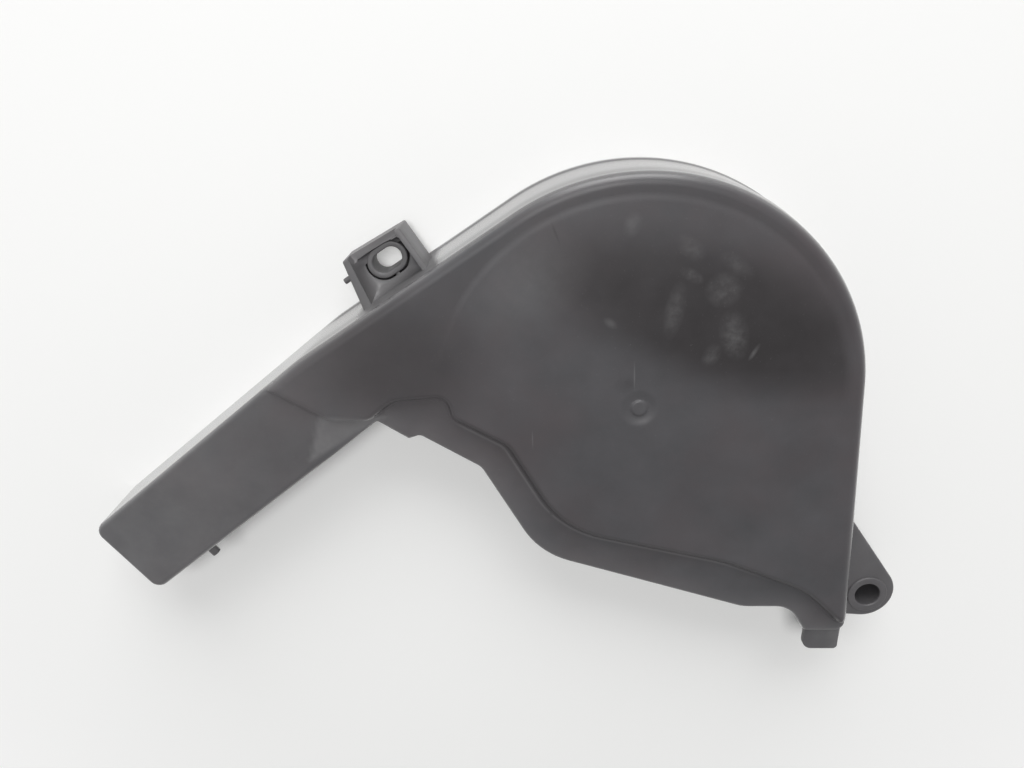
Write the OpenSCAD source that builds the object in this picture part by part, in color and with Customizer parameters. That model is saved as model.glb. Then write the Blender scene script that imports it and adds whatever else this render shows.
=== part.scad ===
// Timing cover of an engine: one moulded plastic shell, open at the back.
// It lies on its back rim (z = 0) with the outer face up.
// The lower bolt hole is on the Z axis. The outlines are drawn about the sprocket axis.

/* [Shell] */
// Height of the outer face above the back rim
depth = 30; // [26:0.5:38]
// Wall thickness of the moulding
wall = 2.5; // [1.8:0.1:3]
// Outer radius of the round end that covers the sprocket
round_r = 72.6; // [70:0.2:76]
// Radius of the rounded edge round the outer face
edge_r = 2.5; // [1:0.25:2.5]
// Step of the side wall: how far the back part stands proud of the front part
wall_step = 0.5; // [0.2:0.1:1]
// Depth of that step below the outer face
wall_step_depth = 5; // [4:0.5:9]
// How far the lip at the back rim stands proud of the side wall
rim_lip = 0.6; // [0.3:0.1:1.2]
// Height of the lip at the back rim
rim_lip_h = 2.5; // [1.5:0.5:5]

/* [Face] */
// Radius of the raised disc over the sprocket
disc_r = 66; // [60:0.5:67]
// How far the disc stands above the face
disc_rise = 0.4; // [0.2:0.1:1]
// Radius of the dimple round the gate mark
dimple_r = 6; // [4:0.5:9]
// Depth of the dimple below the disc
dimple_depth = 0.6; // [0.3:0.1:1.2]
// Radius of the gate mark in the dimple
gate_r = 2.9; // [1.5:0.1:3.8]
// Offset of the gate mark below the sprocket axis
gate_drop = 1.6; // [0:0.2:6]

/* [Arm] */
// Width of the arm across its two side walls, at its closed end
arm_width = 34.6; // [31:0.2:38]
// How far the arm's top side lies beyond the round end, as a share of its radius
arm_rise = 0.0992; // [0.09:0.0002:0.1]
// Distance of the arm's closed end from the sprocket axis, along the arm
arm_reach = 176.2; // [165:0.2:190]
// Corner radius at the arm's end
arm_corner_r = 4; // [3:0.5:8]
// How far the arm's face lies below the main face
arm_drop = 1.5; // [0.8:0.1:2.5]
// Radius of the rounded edge round the arm's face
arm_edge_r = 1.4; // [0.6:0.1:1.4]
// Radius of the locating peg under the arm
foot_r = 1.6; // [1:0.1:2.2]
// Length of the locating peg
foot_len = 4; // [3:0.5:8]
// Distance of the locating peg from the arm's end
foot_from_end = 24; // [15:1:60]
// Depth of the locating peg below the main face
foot_drop = 8; // [5:0.5:14]

/* [Strip] */
// How far the strip along the lower edge lies below the main face
strip_drop = 3; // [2.4:0.1:5]
// Height of the skirt under the strip, above the way out for the belt
skirt = 9; // [6:0.5:14]
// Length of the tab below the strip
tab_len = 10; // [6:0.5:14]
// Width of the tab
tab_w = 13; // [9:0.5:16]
// How far the tab lies below the strip
tab_drop = 2.5; // [1:0.1:5]

/* [Lower ear] */
// Diameter of the lower bolt hole
bolt_d = 9; // [6.4:0.1:10]
// Radius of the ear round the bolt hole
ear_r = 10.4; // [9:0.2:13]
// Height of the ear's face above the back rim
ear_h = 20; // [12:0.5:24]
// Thickness of the ear's plate
ear_t = 5; // [3:0.5:8]
// Outer radius of the tube round the bolt hole
tube_r = 7.2; // [6.6:0.1:8.4]
// How far the tube stands above the ear's face
tube_rise = 0.6; // [0.2:0.1:2]

/* [Upper lug] */
// Length of the slot
slot_l = 10; // [8:0.5:12]
// Width of the slot
slot_w = 6.6; // [5.5:0.1:7.4]
// Thickness of the raised ring round the slot
ring_t = 1.8; // [1.2:0.1:2.4]
// Height of the ring above the lug's floor
ring_rise = 6; // [3:0.5:8]
// Width of the lug along the side wall
lug_w = 21; // [19:0.5:26]
// How far the lug stands out from the side wall
lug_out = 16.5; // [14:0.5:18]
// Height of the lug's floor above the back rim
lug_floor = 10; // [7:0.5:13]
// Thickness of the lug's floor
lug_t = 3; // [2:0.5:5]
// Height of the lug's side walls above its floor
lug_wall_h = 12; // [9:0.5:14]
// Thickness of the lug's side walls
lug_wall_t = 1.8; // [1.2:0.1:2.5]

/* [Hidden] */
$fn = 64;
// Overlap that lets two solids fuse, and reach of cuts past a face
eps = 0.02;
cut = 1;
// How far a round corner may lie from its true arc
arc_tol = 0.08;
// Least corner radius of an outline that is moved inward
least_r = 0.05;
// Rings of the rounded edge
edge_rings = 3;

// Place of the bolt hole, the origin, from the sprocket axis: how far it lies beyond the round end
bolt_out = 16.4;
bolt_low = 6.9;
bolt_at = [round_r + bolt_out, -round_r - bolt_low];
// Direction of each side: the angle of its outward normal
right_dir = 4.4;
top_dir = 124;
arm_dir = 129.2;
arm_end_dir = 217.7;
// Distance of the arm's top side from the sprocket axis
arm_top = round_r * (1 + arm_rise);
// Taper of the arm towards its root, and the direction and distance of its lower side
arm_taper = 0.64;
arm_low_dir = arm_dir + 180 - arm_taper;
arm_low = arm_width - arm_top - arm_reach * sin(arm_taper);
// Place of the lug along the upper side wall, from the foot of the sprocket axis
lug_at = -0.5826 * round_r;
// How much less the lug stands out at its right wall
lug_skew = 1.4;
// Gap between the ring and the lug's end wall
ring_gap = 0.3;
// How far the lug's left wall spreads at its base
lug_flare = 4.5;
// How much lower the lug's end wall is than its side walls
lug_end_drop = 5;
// Peg on the lug's left wall: radius, length, and height above the back rim
peg_r = 0.95;
peg_len = 5;
peg_h = 16;
// Distance of the peg from the lug's outer edge
peg_from_edge = 6;
// Rib that ties the ring to the side wall: thickness, and how far it stops below the ring
rib_t = 1.6;
rib_drop = 1;
// Corner radii of the tab, at the strip's end and at its left foot
tab_corner = 1.5;
tab_foot = 3.5;
// Lowest side of the strip, and the tab's right side
strip_low = 1.2466 * round_r;
tab_right = 1.0923 * round_r;
// Directions of the ear's slope and of its foot
ear_slope = 36.1;
ear_foot = 266;
// How far the foot lies inside the round end
ear_foot_in = 0.9;
// Flat of a face: how far it stands above the rounded edge, and lies inside it
face_rise = 0.05;
face_margin = 0.4;
// How much wider the corners of that flat are
corner_soft = 1.3;
// Least distance of the disc from the edge of that flat
disc_margin = 0.8;
// How far the gate mark stays below the disc
gate_below = 0.2;
// Gap between the way out for the belt and the walls that end beside it
way_gap = 3;

// One side of an outline is [normal direction, distance from the sprocket axis, radius of the next corner].
// Distances are shares of the round end's radius, so that the outlines grow with it.
// Sides of the whole cover, round the arm and the strip. The round end stands out by out.
function cover_sides(out = 0) = [
  [right_dir, round_r + out, round_r + out], // right wall, then the round end
  [top_dir, round_r + out, 60],              // upper wall
  [arm_dir, arm_top, arm_corner_r],          // arm: upper side
  [arm_end_dir, arm_reach, arm_corner_r],    // arm: closed end
  [arm_low_dir, arm_low, 1],                 // arm: lower side, to the notch
  [238, 0.7094 * round_r, 0.8],              // pad beside the notch
  [289, -0.1556 * round_r, 2.5],             // end of the pad
  [239.5, 0.6474 * round_r, 6],              // strip: upper slope
  [210.5, 0.7782 * round_r, 28],             // strip: steep part
  [253, 0.8898 * round_r, 15],               // strip: long lower part
  [270, 1.1061 * round_r, 9],                // strip: level part
  [212.2, -0.095 * round_r, 2],              // strip: bend to the tab
  [270, strip_low, 3.5]                      // strip: lowest side
];
// Sides of the main face: the crease on the arm, the bump and the step line above the strip
face_sides = [
  [right_dir, round_r, round_r],     // right wall, then the round end
  [top_dir, round_r, 60],            // upper wall
  [arm_dir, arm_top, 4],             // arm: upper side, to the crease
  [240.6, 0.7534 * round_r, 6],      // crease across the arm
  [270, 0.0909 * round_r, 5],        // level crease to the bump
  [311.4, -0.7245 * round_r, 8],     // bump: left flank
  [275.3, -0.1019 * round_r, 4],     // bump: top
  [195, 0.8237 * round_r, 4.5],      // bump: right end
  [241.1, 0.4725 * round_r, 8],      // step: upper slope
  [210.6, 0.6143 * round_r, 34],     // step: steep part
  [257.1, 0.7081 * round_r, 50],     // step: long lower part
  [248, 0.5989 * round_r, 30],       // step: bend down to the tab
  [226.3, 0.1267 * round_r, 2]       // step: end beside the tab
];
// Sides of the arm's own face, up to the notch beside the strip
arm_sides = [
  [arm_dir, arm_top, arm_corner_r],
  [arm_end_dir, arm_reach, arm_corner_r],
  [arm_low_dir, arm_low, 2.5],
  [347.3, -1.354 * round_r, 2.5]
];

// Sides of the ear: its slope down from the right wall, its round end and its foot
ear_sides = [
  [ear_slope, ear_line(ear_slope), 1],
  [right_dir + 180, wall / 2 - round_r, 1],
  [ear_foot, ear_line(ear_foot) - ear_foot_in, ear_r]
];
// Distance of a side that is tangent to the ear's round end
function ear_line(d) = bolt_at[0] * cos(d) + bolt_at[1] * sin(d) + ear_r;

// Where two sides meet, each moved inward by inset
function meet(a, b, inset) = let (
    p = a[1] - inset,
    q = b[1] - inset,
    s = sin(b[0] - a[0])
  ) [(p * sin(b[0]) - q * sin(a[0])) / s, (q * cos(a[0]) - p * cos(b[0])) / s];

// Turn from one side to the next: positive at an outer corner, negative at an inner one
function turn(a, b) = (b[0] - a[0] + 540) % 360 - 180;

// Round corner between two sides, as points
function corner(a, b, inset) = let (
    t = turn(a, b),
    side = sign(t),
    r = max(a[2] - side * inset, least_r),
    centre = meet(a, b, inset + side * r),
    steps = ceil(abs(t) / (2 * acos(1 - arc_tol / max(a[2], 2 * arc_tol))))
  ) [for (i = [0:steps]) let (d = a[0] + t * i / steps) centre + side * r * [cos(d), sin(d)]];

// Closed outline, moved inward by inset
function outline(sides, inset = 0) =
  [for (i = [0:len(sides) - 1]) each corner(sides[i], sides[(i + 1) % len(sides)], inset)];

// Frame that follows an outline, with a closed profile of [inset, z] points as its section
module edge_frame(sides, profile) {
  rings = [for (p = profile) [for (q = outline(sides, p[0])) [q[0], q[1], p[1]]]];
  n = len(rings[0]);
  m = len(rings);
  skin = [for (k = [0:m - 1], i = [0:n - 1]) let (j = (i + 1) % n, l = (k + 1) % m)
    each [[k * n + i, l * n + i, l * n + j], [k * n + i, l * n + j, k * n + j]]];
  polyhedron(points = [for (r = rings) each r], faces = skin, convexity = 8);
}

// Rounded edge of radius r below a face at height top, as [inset, z] steps
function round_edge(top, r) =
  [for (i = [0:edge_rings]) let (d = 90 * i / edge_rings) [r * (1 - cos(d)), top - r + r * sin(d)]];

// Sides with slightly wider corners
function softened(sides) = [for (s = sides) [s[0], s[1], s[2] + corner_soft]];

// Plain block of an outline
module block(sides, inset, z0, z1) {
  translate([0, 0, z0]) linear_extrude(z1 - z0) polygon(outline(sides, inset));
}

// Block of an outline with an upper edge rounded to radius r, and a flat face
module rounded_block(sides, r, z0, z1) {
  inner = r + 2 * face_margin;
  top = z1 - face_rise;
  edge_frame(sides, concat([[0, z0]], round_edge(top, r), [[inner, top], [inner, z0]]));
  block(softened(sides), r + face_margin, z0, z1);
}

// Outer form of the shell: main face, arm, strip with its side walls, and the raised disc
module shell_form() {
  rounded_block(face_sides, edge_r, depth - strip_drop - wall, depth);
  rounded_block(arm_sides, arm_edge_r, 0, depth - arm_drop);
  block(cover_sides(), 0, 0, depth - strip_drop);
  block(cover_sides(wall_step), 0, 0, depth - wall_step_depth);
  block(cover_sides(wall_step + rim_lip), 0, 0, rim_lip_h);
  intersection() {
    translate([0, 0, depth - wall / 2]) cylinder(r = disc_r, h = wall / 2 + disc_rise, $fn = 180);
    block(face_sides, edge_r + face_margin + disc_margin, depth - wall, depth + disc_rise + cut);
  }
}

// Hollow of the shell, open at the back
module shell_hollow() {
  block(cover_sides(), wall, -cut, depth - strip_drop - wall);
  block(arm_sides, wall, -cut, depth - arm_drop - wall);
  block(face_sides, wall, -cut, depth - wall);
}

// Way out for the belt, under the strip's skirt
module belt_way() {
  notch = meet(cover_sides()[4], cover_sides()[5], 0);
  left = notch[0] + way_gap;
  right = tab_right - tab_w - way_gap;
  low = -strip_low - round_r;
  translate([0, 0, -cut])
    linear_extrude(depth - strip_drop - skirt + cut)
      polygon([[left, 0], [left, -round_r], [right, low], [right, -round_r], [-disc_r / 3, -disc_r / 3]]);
}

// Dimple at the middle of the disc, with the gate mark standing in it
module gate_dimple() {
  translate([0, -gate_drop, depth + disc_rise - dimple_depth])
    difference() {
      cylinder(r = dimple_r, h = dimple_depth + cut);
      cylinder(r = gate_r, h = dimple_depth - gate_below);
    }
}

// Tab below the strip's right end
module tab() {
  top = depth - strip_drop - tab_drop;
  sides = [
    [0, tab_right, tab_corner],
    [90, wall - strip_low, tab_corner],
    [180, tab_w - tab_right, tab_foot],
    [270, strip_low + tab_len, tab_corner]
  ];
  block(sides, 0, top - wall, top);
}

// Ear beside the right wall, with the tube of the bolt hole
module ear() {
  translate([0, 0, ear_h - ear_t]) linear_extrude(ear_t) polygon(outline(ear_sides));
  translate([bolt_at[0], bolt_at[1], 0]) cylinder(r = tube_r, h = ear_h + tube_rise);
}

// Locating peg under the arm
module foot() {
  along = arm_reach - foot_from_end;
  end = [cos(arm_end_dir), sin(arm_end_dir)];
  low = [cos(arm_low_dir), sin(arm_low_dir)];
  at = end * along + low * (arm_low + arm_reach * sin(arm_taper) - wall / 2);
  translate([at[0], at[1], depth - foot_drop])
    rotate([0, 90, arm_low_dir])
      cylinder(r = foot_r, h = foot_len + wall / 2);
}

// Bracket on the upper side wall: a pocket with a slotted ring that stands on its floor.
// Its own frame has x along the side wall and y out from it.
module lug() {
  base = round_r - wall / 2;
  out = round_r + lug_out;
  half = lug_w / 2;
  floor_z = lug_floor - lug_t;
  ring_top = lug_floor + ring_rise;
  slot_out = round_r + lug_out - lug_wall_t - slot_w / 2 - ring_t - ring_gap - lug_skew / 2;
  rotate([0, 0, top_dir - 90]) translate([lug_at, 0, 0]) {
    difference() {
      translate([0, 0, floor_z])
        linear_extrude(lug_t + lug_wall_h)
          polygon([[-half - lug_flare, base], [half, base], [half, out - lug_skew], [-half, out]]);
      translate([0, 0, lug_floor])
        linear_extrude(lug_wall_h + cut)
          polygon([
            [-half - lug_flare + 2 * lug_wall_t, round_r + wall_step],
            [half - lug_wall_t, round_r + wall_step],
            [half - lug_wall_t, out - lug_skew - lug_wall_t],
            [-half + lug_wall_t, out - lug_wall_t]
          ]);
      translate([-half + lug_wall_t, out - 2 * lug_wall_t, lug_floor + lug_wall_h - lug_end_drop])
        cube([lug_w - 2 * lug_wall_t, 3 * lug_wall_t, lug_end_drop + cut]);
      translate([0, slot_out, floor_z - cut]) slot(0, lug_t + 2 * cut);
    }
    difference() {
      union() {
        translate([0, slot_out, lug_floor - eps]) slot(ring_t, ring_rise + eps);
        translate([-rib_t / 2, round_r - wall / 2, lug_floor - eps])
          cube([rib_t, slot_out - round_r + wall / 2, ring_rise - rib_drop + eps]);
      }
      translate([0, slot_out, floor_z]) slot(0, ring_top - floor_z + cut);
    }
    translate([-half, out - peg_from_edge, peg_h])
      rotate([0, -90, 0])
        cylinder(r = peg_r, h = peg_len);
  }
}

// Slot-shaped column, grown by grow all round
module slot(grow, height) {
  run = (slot_l - slot_w) / 2;
  for (x = [-run, run]) translate([x, 0, 0]) cylinder(d = slot_w + 2 * grow, h = height);
  translate([-run, -slot_w / 2 - grow, 0]) cube([2 * run, slot_w + 2 * grow, height]);
}

module timing_cover() {
  color([0.2, 0.2, 0.21])
    translate([-bolt_at[0], -bolt_at[1], 0])
      difference() {
        union() {
          difference() {
            union() {
              shell_form();
              lug();
              ear();
            }
            shell_hollow();
            belt_way();
          }
          tab();
          foot();
        }
        gate_dimple();
        translate([bolt_at[0], bolt_at[1], -cut]) cylinder(d = bolt_d, h = ear_h + tube_rise + 2 * cut);
      }
}

timing_cover();
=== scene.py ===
import math
import bpy
import bmesh
import numpy as np
from mathutils import Matrix, Vector
from mathutils.geometry import delaunay_2d_cdt


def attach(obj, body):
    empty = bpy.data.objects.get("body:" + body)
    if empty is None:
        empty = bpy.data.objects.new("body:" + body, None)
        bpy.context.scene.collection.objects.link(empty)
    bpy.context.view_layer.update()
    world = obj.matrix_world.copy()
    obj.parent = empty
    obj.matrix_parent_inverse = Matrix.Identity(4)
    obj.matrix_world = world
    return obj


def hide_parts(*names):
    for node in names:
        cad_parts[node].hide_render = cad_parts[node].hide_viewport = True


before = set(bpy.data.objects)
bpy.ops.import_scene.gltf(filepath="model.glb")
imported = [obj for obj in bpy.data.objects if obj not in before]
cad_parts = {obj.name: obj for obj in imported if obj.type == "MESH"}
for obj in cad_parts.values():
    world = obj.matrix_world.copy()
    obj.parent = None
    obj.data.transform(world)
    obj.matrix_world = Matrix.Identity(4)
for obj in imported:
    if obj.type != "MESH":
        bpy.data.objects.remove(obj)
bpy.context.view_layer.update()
scene = bpy.context.scene
mm = 0.001

# Shell sizes in millimetres about the sprocket axis, with the back rim at height 0
shell = {
    "axis": (-89.0, 79.5),
    "depth": 30.0,
    "wall": 2.5,
    "roundRadius": 72.6,
    "rightDir": 4.4,
    "topDir": 124.0,
    "armDir": 129.2,
    "armEndDir": 217.7,
    "armLowDir": 308.56,
    "armTop": 79.8,
    "armReach": 176.17,
    "armLow": -47.17,
    "stripLow": 90.5,
    "faceEdge": 3.6,
    "armEdge": 1.8,
    "stripEdge": 1.0,
    "armDrop": 1.5,
    "stripDrop": 3.0,
    "stepRun": 2.0,      # rounded upper part of the step, inside its line
    "stepFoot": 1.0,     # hollow foot of the step, outside its line
    "facetDir": 347.3,   # end of the arm's level face, where it slopes to the strip
    "facetFrom": -98.3,
    "facetRun": 13.0,
    "discRadius": 66.0,
    "discRise": 0.12,
    "discEdge": 1.3,
    "discFade": 16.0,    # the disc runs out into the face towards the step
    "discOff": 1.0,
    "discClear": 0.6,
    "gateAt": (0.0, -1.6),
    "gateRadius": 2.9,
    "dimpleRadius": 6.0,
    "dimpleDepth": 0.6,
    "gateRise": 0.75,    # share of the dimple's depth that the gate mark stands up
    "gateEdge": 0.7,
    "gateBank": 0.3,
    "beltTop": 18.0,     # the wall is open below this height along the lower side
    "beltLeft": -81.0,
    "beltRight": 63.3,
    "edgeLead": 6.0,     # the edge's radius changes from the arm's to the strip's past the facet's line
    "edgeRun": 8.0,
    "stepLap": 1.0,
    "stepLead": 0.2,     # step and crease of the ceiling
    "stepSoft": 0.5,
    "creaseSoft": 0.8,
    "pointGap": 1.7,     # gaps between the mesh's points, and how far they keep from edges and steps
    "turnStep": 9.0,
    "leastRadius": 0.3,
    "offsetSlack": 0.06,
    "edgeMargin": 0.02,
    "stepMargin": 0.3,
    "edgeClear": 4.1,
    "stepClear": 4.4,
    "gateGap": 0.5,
    "gateShare": 0.18,
    "gateClear": 9.0,
    "gridGap": 6.0,
    "gridClear": 4.3,
    "gridStep": (-2.0, 5.0),
    "gridDisc": (62.0, 69.0),
    "facetGap": 1.4,
    "facetReach": 18.0,
    "lineGap": 1.5,
    "lineReach": 60.0,
    "lineStep": -1.4,
    "thinGap": 0.035,
    "ceilingGap": 8.0,
    "ceilingClear": 1.0,
    "ceilingStep": (1.0, 4.0),
    "ceilingThin": 0.05,
}
weldGap = 0.004
sliverGap = 0.002

# Sloping facet at the arm's root, beside the notch
facet = {"at": (-96.0, -12.0), "corners": [(-103.5, -4.5), (-108.5, -22.0), (-81.5, -5.5)], "soft": 2.2}

# Heights down the outer wall, each with how far the round end stands out there
wallLevels = [
    (25.9, 0.0), (25.2, 0.07), (24.4, 0.16), (23.5, 0.26), (22.5, 0.36), (21.4, 0.44), (18.0, 0.5),
    (10.0, 0.5), (3.9, 0.5), (3.4, 0.57), (2.9, 0.76), (2.4, 0.96), (2.0, 1.03), (0.3, 1.03), (0.0, 0.9),
]
innerLevels = [18.0, 10.0, 0.0]
edgeInsets = [0.05, 0.2, 0.45, 0.8, 1.2, 1.65, 2.1, 2.6, 3.1, 3.6, 4.0]
stepInsets = [
    -2.3, -1.95, -1.7, -1.5, -1.3, -1.15, -1.0, -0.8, -0.55, -0.3, -0.12, -0.04, 0.0, 0.04, 0.12, 0.3, 0.55,
    0.9, 1.3, 1.7, 2.0, 2.3, 2.6, 3.0, 3.4, 3.8, 4.3,
]
ceilingInsets = [2.2, 2.3, 2.4, 2.55, 2.7, 2.8]
discRings = [63.9, 64.5, 64.9, 65.2, 65.5, 65.8, 66.1, 67.0]
gateRings = [0.0, 1.2, 2.0, 2.3, 2.5, 2.7, 2.9, 3.1, 3.4, 4.0, 4.7, 5.4, 6.0, 6.5, 7.5]


# A side is its outward direction, its distance from the sprocket axis and the radius of the next corner
def coverSides(out=0.0):
    s = shell
    return [
        (s["rightDir"], s["roundRadius"] + out, s["roundRadius"] + out),
        (s["topDir"], s["roundRadius"] + out, 60.0),
        (s["armDir"], s["armTop"], 4.0),
        (s["armEndDir"], s["armReach"], 4.0),
        (s["armLowDir"], s["armLow"], 1.0),
        (238.0, 51.5, 0.8),       # pad beside the notch
        (289.0, -11.3, 2.5),
        (239.5, 47.0, 6.0),       # strip, from its upper slope to the tab
        (210.5, 56.5, 28.0),
        (253.0, 64.6, 15.0),
        (270.0, 80.3, 9.0),
        (212.2, -6.9, 2.0),
        (270.0, s["stripLow"], 3.5),
    ]


# Main face: its outer walls stand far out here, so that only the crease, the bump and the step are left
def stepSides(away=40.0):
    s = shell
    return [
        (s["rightDir"], s["roundRadius"] + away, s["roundRadius"]),
        (s["topDir"], s["roundRadius"] + away, 60.0),
        (s["armDir"], s["armTop"] + away, 4.0),
        (240.6, 54.7, 6.0),       # crease across the arm
        (270.0, 6.6, 5.0),
        (311.4, -52.6, 8.0),      # bump
        (275.3, -7.4, 4.0),
        (195.0, 59.8, 4.5),
        (241.1, 34.3, 8.0),       # step, from its upper slope to the tab
        (210.6, 44.6, 34.0),
        (257.1, 51.41, 50.0),
        (248.0, 43.48, 30.0),
        (226.3, 9.2, 2.0),
        (285.0, 102.9, 2.0),      # corner beside the tab
    ]


def unit(direction):
    return np.array([math.cos(math.radians(direction)), math.sin(math.radians(direction))])


def meet(a, b, inset):
    return np.linalg.solve(np.array([unit(a[0]), unit(b[0])]), np.array([a[1] - inset, b[1] - inset]))


def turn(a, b):
    return (b[0] - a[0] + 540.0) % 360.0 - 180.0


def cornerArc(a, b, inset, steps):
    angle = turn(a, b)
    side = math.copysign(1.0, angle)
    radius = max(a[2] - side * inset, shell["leastRadius"])
    centre = meet(a, b, inset + side * radius)
    return [centre + side * radius * unit(a[0] + angle * i / steps) for i in range(steps + 1)]


# Closed outline moved inward: each inset gives as many points, so that rings can be joined
def ring(sides, inset=0.0, gap=None):
    gap = gap or shell["pointGap"]
    count = len(sides)
    pairs = [(sides[i], sides[(i + 1) % count]) for i in range(count)]
    steps = []
    for a, b in pairs:
        angle = abs(turn(a, b))
        steps.append(max(2, math.ceil(angle / shell["turnStep"]), round(a[2] * math.radians(angle) / gap)))
    arcs = [cornerArc(a, b, inset, n) for (a, b), n in zip(pairs, steps)]
    base = [cornerArc(a, b, 0.0, n) for (a, b), n in zip(pairs, steps)]
    points = []
    for i in range(count):
        j = (i + 1) % count
        points += arcs[i]
        parts = max(1, round(np.linalg.norm(base[j][0] - base[i][-1]) / gap))
        points += [arcs[i][-1] + (arcs[j][0] - arcs[i][-1]) * k / parts for k in range(1, parts)]
    return np.array(points)


# Distance inside a closed outline, negative outside it
def inside(points, outline):
    a, b = outline, np.roll(outline, -1, axis=0)
    along = b - a
    length = np.maximum((along ** 2).sum(1), 1e-12)
    rise = np.where(np.abs(along[:, 1]) < 1e-12, 1e-12, along[:, 1])
    result = np.zeros(len(points))
    for start in range(0, len(points), 2000):
        p = points[start:start + 2000, None, :]
        t = np.clip(((p - a) * along).sum(2) / length, 0.0, 1.0)
        away = np.sqrt(((a + along * t[..., None] - p) ** 2).sum(2).min(1))
        crossing = (a[:, 1] > p[..., 1]) != (b[:, 1] > p[..., 1])
        right = p[..., 0] < a[:, 0] + (p[..., 1] - a[:, 1]) * along[:, 0] / rise
        within = (crossing & right).sum(1) % 2 == 1
        result[start:start + 2000] = np.where(within, away, -away)
    return result


def smooth(t):
    t = np.clip(t, 0.0, 1.0)
    return t * t * (3.0 - 2.0 * t)


coverOutline = ring(coverSides())
stepOutline = ring(stepSides())
innerOutline = ring(coverSides(), shell["wall"])


# Share of the step's height at a distance inside its line
def stepShape(d):
    run, foot = shell["stepRun"], shell["stepFoot"]
    share = foot / (foot + run)
    left = 1.0 - np.clip(d / run, 0.0, 1.0)
    upper = share + (1.0 - share) * np.sqrt(np.clip(1.0 - left ** 2, 0.0, 1.0))
    lower = share * (1.0 - np.sqrt(np.clip(1.0 - np.clip(1.0 + d / foot, 0.0, 1.0) ** 2, 0.0, 1.0)))
    return np.where(d >= 0.0, upper, lower)


# Level of the arm, of the facet that slopes down from it and of the strip
def lowLevel(points):
    past = points @ unit(shell["facetDir"]) - shell["facetFrom"]
    share = np.clip(past / shell["facetRun"], 0.0, 1.0)
    return shell["depth"] - shell["armDrop"] - (shell["stripDrop"] - shell["armDrop"]) * share


def outerHeight(points):
    s = shell
    dCover = np.maximum(inside(points, coverOutline), 0.0)
    dStep = inside(points, stepOutline)
    low = lowLevel(points)
    z = low + (s["depth"] - low) * stepShape(dStep)
    away = np.linalg.norm(points, axis=1)
    disc = smooth((s["discRadius"] - away) / s["discEdge"])
    disc *= smooth((dStep - s["faceEdge"] - s["discOff"]) / s["discFade"])
    disc *= smooth(points[:, 1] / s["discFade"] / 2.0 + 1.0)
    z += s["discRise"] * disc * smooth((dCover - s["faceEdge"] - s["discClear"]) / s["discEdge"])
    gate = np.linalg.norm(points - np.array(s["gateAt"]), axis=1)
    bank = (gate - s["gateRadius"] - s["gateBank"]) / (s["dimpleRadius"] - s["gateRadius"])
    z -= s["dimpleDepth"] * (1.0 - smooth(bank))
    z += s["dimpleDepth"] * s["gateRise"] * smooth((s["gateRadius"] - gate) / s["gateEdge"])
    onArm = smooth((s["facetFrom"] + s["edgeLead"] - points @ unit(s["facetDir"])) / s["edgeRun"])
    radius = s["stripEdge"] + (s["armEdge"] - s["stripEdge"]) * onArm
    radius += (s["faceEdge"] - radius) * smooth((dStep + s["stepLap"]) / (2.0 * s["stepLap"]))
    short = np.clip(radius - dCover, 0.0, None)
    return z - radius + np.sqrt(np.clip(radius ** 2 - short ** 2, 0.0, None))


def ceilingHeight(points):
    s = shell
    dStep = inside(points, stepOutline)
    past = points @ unit(s["facetDir"]) - s["facetFrom"] + s["wall"]
    share = smooth(past / s["creaseSoft"] + 0.5)
    low = s["depth"] - s["armDrop"] - (s["stripDrop"] - s["armDrop"]) * share - s["wall"]
    onFace = smooth((dStep - s["wall"] + s["stepLead"]) / s["stepSoft"])
    return low + (s["depth"] - s["wall"] - low) * onFace


def gridInside(outline, margin, gap):
    low, high = outline.min(0), outline.max(0)
    xs, ys = np.meshgrid(np.arange(low[0], high[0], gap), np.arange(low[1], high[1], gap))
    points = np.stack([xs.ravel(), ys.ravel()], 1)
    return points[inside(points, outline) > margin]


def circle(centre, radius, gap):
    count = max(1, round(2.0 * math.pi * radius / gap))
    angles = np.arange(count) * 2.0 * math.pi / count
    return np.array(centre) + radius * np.stack([np.cos(angles), np.sin(angles)], 1)


# Offset rows of an outline that are true offsets there, and lie inside a border
def rows(sides, insets, outline, border, margin):
    found = []
    for inset in insets:
        points = ring(sides, inset)
        keep = np.abs(inside(points, outline) - inset) < shell["offsetSlack"]
        keep &= inside(points, border) > margin
        found.append(points[keep])
    return np.concatenate(found)


# Drops points that lie closer than a gap to an earlier one
def thinned(points, gap):
    taken, kept = {}, []
    for p in points:
        cell = (math.floor(p[0] / gap), math.floor(p[1] / gap))
        near = (taken.get((cell[0] + i, cell[1] + j)) for i in (-1, 0, 1) for j in (-1, 0, 1))
        if any(q is not None and (q[0] - p[0]) ** 2 + (q[1] - p[1]) ** 2 < gap * gap for q in near):
            continue
        taken[cell] = p
        kept.append(p)
    return np.array(kept)


# Triangles of a closed border with loose points inside it, and where each border point went
def skin(border, loose):
    points = [Vector(p) for p in np.concatenate([border, loose])]
    count = len(border)
    verts, _, faces, origin, _, _ = delaunay_2d_cdt(points, [], [list(range(count))], 1, 1e-4, True)
    places = {}
    for new, olds in enumerate(origin):
        for old in olds:
            places[old] = new
    flat = np.array([tuple(v) for v in verts])
    corners = flat[np.array([tuple(f) for f in faces])]
    one, two = corners[:, 1] - corners[:, 0], corners[:, 2] - corners[:, 0]
    wide = np.abs(one[:, 0] * two[:, 1] - one[:, 1] * two[:, 0]) > 4e-5
    wide &= inside(corners.mean(1), border) > 0.0
    return flat, [f for f, keep in zip(faces, wide) if keep], [places[i] for i in range(count)]


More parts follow.
